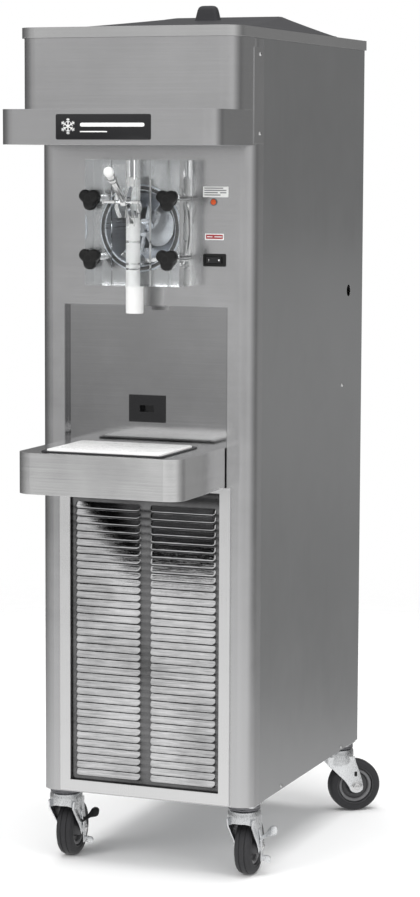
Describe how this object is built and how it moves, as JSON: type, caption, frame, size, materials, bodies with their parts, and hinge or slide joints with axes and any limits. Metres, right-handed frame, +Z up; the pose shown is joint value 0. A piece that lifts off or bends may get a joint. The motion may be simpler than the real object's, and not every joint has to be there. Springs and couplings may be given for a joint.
{
  "type": "soft serve machine",
  "caption": "Floor-standing soft serve machine on casters: tall stainless cabinet with a clear draw door, lever, drip shelf, louvred grille and lift-off hopper cover.",
  "frame": {"origin": "centre of the overall footprint, on the floor", "axes": "+Z up; the dispensing door faces -Y; +X to the right of someone facing the machine's front"},
  "size_m": [0.4964, 0.838, 1.554],
  "materials": {
    "cabinet_steel": "brushed stainless sheet",
    "bright_trim": "bright stainless",
    "galvanised_steel": "galvanised",
    "inner_stainless": "polished stainless",
    "foam": "closed-cell foam",
    "clear_plastic": "clear acrylic",
    "white_plastic": "white moulded plastic",
    "black_plastic": "satin black moulding",
    "cover_plastic": "dark grey satin moulding",
    "pan_plastic": "dark moulding",
    "plate_finish": "gloss black plate",
    "amber_lens": "translucent orange lens",
    "polished_steel": "polished stainless",
    "seal_rubber": "black rubber",
    "motor_paint": "black enamel",
    "coil_aluminium": "mill finish fins",
    "copper": "copper pipe",
    "screw_steel": "bright screw heads",
    "zinc": "bright zinc plate",
    "tyre": "dark grey rubber"
  },
  "bodies": {
    "cabinet": {"left_side_panel": "cabinet_steel", "right_side_panel": "cabinet_steel", "back_panel": "cabinet_steel", "front_panel": "cabinet_steel", "splash_panel": "cabinet_steel", "top_rim": "cabinet_steel", "top_hood": "cabinet_steel", "header_band": "cabinet_steel", "drip_shelf": "cabinet_steel", "louvre_frame": "bright_trim", "louvre_panel": "bright_trim", "base_frame": "galvanised_steel", "door_studs": "galvanised_steel", "control_box": "galvanised_steel", "hopper": "inner_stainless", "feed_tube": "inner_stainless", "freezing_cylinder": "inner_stainless", "cylinder_insulation": "foam", "front_door": "clear_plastic", "spout_extension": "white_plastic", "switch_bezel": "black_plastic", "power_inlet": "black_plastic", "name_plate": "plate_finish", "indicator_light": "amber_lens", "lever_pin": "polished_steel", "door_gasket": "seal_rubber", "gearbox": "motor_paint", "drive_motor": "motor_paint", "compressor": "motor_paint", "fan_motor": "motor_paint", "condenser": "coil_aluminium", "refrigerant_line": "copper", "panel_screws": "screw_steel", "caster_plates": "zinc"},
    "hopper_cover": {"hopper_cover": "cover_plastic", "cover_knob": "black_plastic"},
    "plunger": {"plunger": "white_plastic"},
    "draw_lever": {"draw_lever": "polished_steel", "lever_ball": "white_plastic"},
    "drip_drawer": {"drip_drawer": "black_plastic"},
    "drip_pan": {"drip_pan": "pan_plastic"},
    "drip_insert": {"drip_insert": "white_plastic"},
    "auger": {"auger_shaft": "inner_stainless", "auger_blades": "inner_stainless"},
    "fan": {"fan_blades": "black_plastic"},
    "power_rocker": {"power_rocker": "black_plastic"},
    "door_knob_lower_left": {"door_knob_lower_left": "black_plastic"},
    "door_knob_upper_left": {"door_knob_upper_left": "black_plastic"},
    "door_knob_lower_right": {"door_knob_lower_right": "black_plastic"},
    "door_knob_upper_right": {"door_knob_upper_right": "black_plastic"},
    "caster_fork_front_left": {"caster_fork_front_left": "zinc"},
    "caster_wheel_front_left": {"caster_wheel_front_left": "tyre"},
    "caster_brake_front_left": {"caster_brake_front_left": "zinc"},
    "caster_fork_front_right": {"caster_fork_front_right": "zinc"},
    "caster_wheel_front_right": {"caster_wheel_front_right": "tyre"},
    "caster_brake_front_right": {"caster_brake_front_right": "zinc"},
    "caster_fork_rear_left": {"caster_fork_rear_left": "zinc"},
    "caster_wheel_rear_left": {"caster_wheel_rear_left": "tyre"},
    "caster_fork_rear_right": {"caster_fork_rear_right": "zinc"},
    "caster_wheel_rear_right": {"caster_wheel_rear_right": "tyre"}
  },
  "joints": [
    {"name": "cover_lift", "type": "slide", "parent": "cabinet", "child": "hopper_cover", "axis": [0, 0, 1], "range_m": [0, 0.15]},
    {"name": "lever_draw", "type": "hinge", "parent": "cabinet", "child": "draw_lever", "pos_m": [0, -0.29797, 1.202], "axis": [1, 0, 0], "range_deg": [0, 32]},
    {"name": "plunger_lift", "type": "slide", "parent": "cabinet", "child": "plunger", "axis": [0, 0, 1], "range_m": [0, 0.026]},
    {"name": "drawer_slide", "type": "slide", "parent": "cabinet", "child": "drip_drawer", "axis": [0, 1, 0], "range_m": [-0.17, 0]},
    {"name": "pan_lift", "type": "slide", "parent": "cabinet", "child": "drip_pan", "axis": [0, 0, 1], "range_m": [0, 0.1]},
    {"name": "insert_lift", "type": "slide", "parent": "drip_pan", "child": "drip_insert", "axis": [0, 0, 1], "range_m": [0, 0.05]},
    {"name": "auger_spin", "type": "hinge", "parent": "cabinet", "child": "auger", "pos_m": [0, -0.00597, 1.156], "axis": [0, 1, 0], "continuous": true},
    {"name": "fan_spin", "type": "hinge", "parent": "cabinet", "child": "fan", "pos_m": [0, -0.09797, 0.42], "axis": [0, 1, 0], "continuous": true},
    {"name": "rocker_tilt", "type": "hinge", "parent": "cabinet", "child": "power_rocker", "pos_m": [0.1305, -0.20097, 1.102], "axis": [0, 0, 1], "range_deg": [-12, 0]},
    {"name": "knob_turn_lower_left", "type": "hinge", "parent": "cabinet", "child": "door_knob_lower_left", "pos_m": [-0.072, -0.27697, 1.105], "axis": [0, 1, 0], "continuous": true},
    {"name": "knob_turn_upper_left", "type": "hinge", "parent": "cabinet", "child": "door_knob_upper_left", "pos_m": [-0.072, -0.27697, 1.207], "axis": [0, 1, 0], "continuous": true},
    {"name": "knob_turn_lower_right", "type": "hinge", "parent": "cabinet", "child": "door_knob_lower_right", "pos_m": [0.072, -0.27697, 1.105], "axis": [0, 1, 0], "continuous": true},
    {"name": "knob_turn_upper_right", "type": "hinge", "parent": "cabinet", "child": "door_knob_upper_right", "pos_m": [0.072, -0.27697, 1.207], "axis": [0, 1, 0], "continuous": true},
    {"name": "swivel_front_left", "type": "hinge", "parent": "cabinet", "child": "caster_fork_front_left", "pos_m": [-0.174, -0.15997, 0.126], "axis": [0, 0, 1], "continuous": true},
    {"name": "roll_front_left", "type": "hinge", "parent": "caster_fork_front_left", "child": "caster_wheel_front_left", "pos_m": [-0.17623, -0.12805, 0.0508], "axis": [0.9976, 0.0698, 0], "continuous": true},
    {"name": "brake_front_left", "type": "hinge", "parent": "caster_fork_front_left", "child": "caster_brake_front_left", "pos_m": [-0.17623, -0.12805, 0.0508], "axis": [0.9976, 0.0698, 0], "range_deg": [0, 18]},
    {"name": "swivel_front_right", "type": "hinge", "parent": "cabinet", "child": "caster_fork_front_right", "pos_m": [0.174, -0.15997, 0.126], "axis": [0, 0, 1], "continuous": true},
    {"name": "roll_front_right", "type": "hinge", "parent": "caster_fork_front_right", "child": "caster_wheel_front_right", "pos_m": [0.17177, -0.12805, 0.0508], "axis": [0.9976, 0.0698, 0], "continuous": true},
    {"name": "brake_front_right", "type": "hinge", "parent": "caster_fork_front_right", "child": "caster_brake_front_right", "pos_m": [0.17177, -0.12805, 0.0508], "axis": [0.9976, 0.0698, 0], "range_deg": [0, 18]},
    {"name": "swivel_rear_left", "type": "hinge", "parent": "cabinet", "child": "caster_fork_rear_left", "pos_m": [-0.174, 0.36303, 0.126], "axis": [0, 0, 1], "continuous": true},
    {"name": "roll_rear_left", "type": "hinge", "parent": "caster_fork_rear_left", "child": "caster_wheel_rear_left", "pos_m": [-0.20053, 0.38092, 0.0508], "axis": [0.5592, 0.829, 0], "continuous": true},
    {"name": "swivel_rear_right", "type": "hinge", "parent": "cabinet", "child": "caster_fork_rear_right", "pos_m": [0.174, 0.36303, 0.126], "axis": [0, 0, 1], "continuous": true},
    {"name": "roll_rear_right", "type": "hinge", "parent": "caster_fork_rear_right", "child": "caster_wheel_rear_right", "pos_m": [0.20053, 0.38092, 0.0508], "axis": [0.5592, -0.829, 0], "continuous": true}
  ],
  "couplings": [
    {"joint": "plunger_lift", "follows": "lever_draw", "m_per_rad": 0.0458}
  ]
}
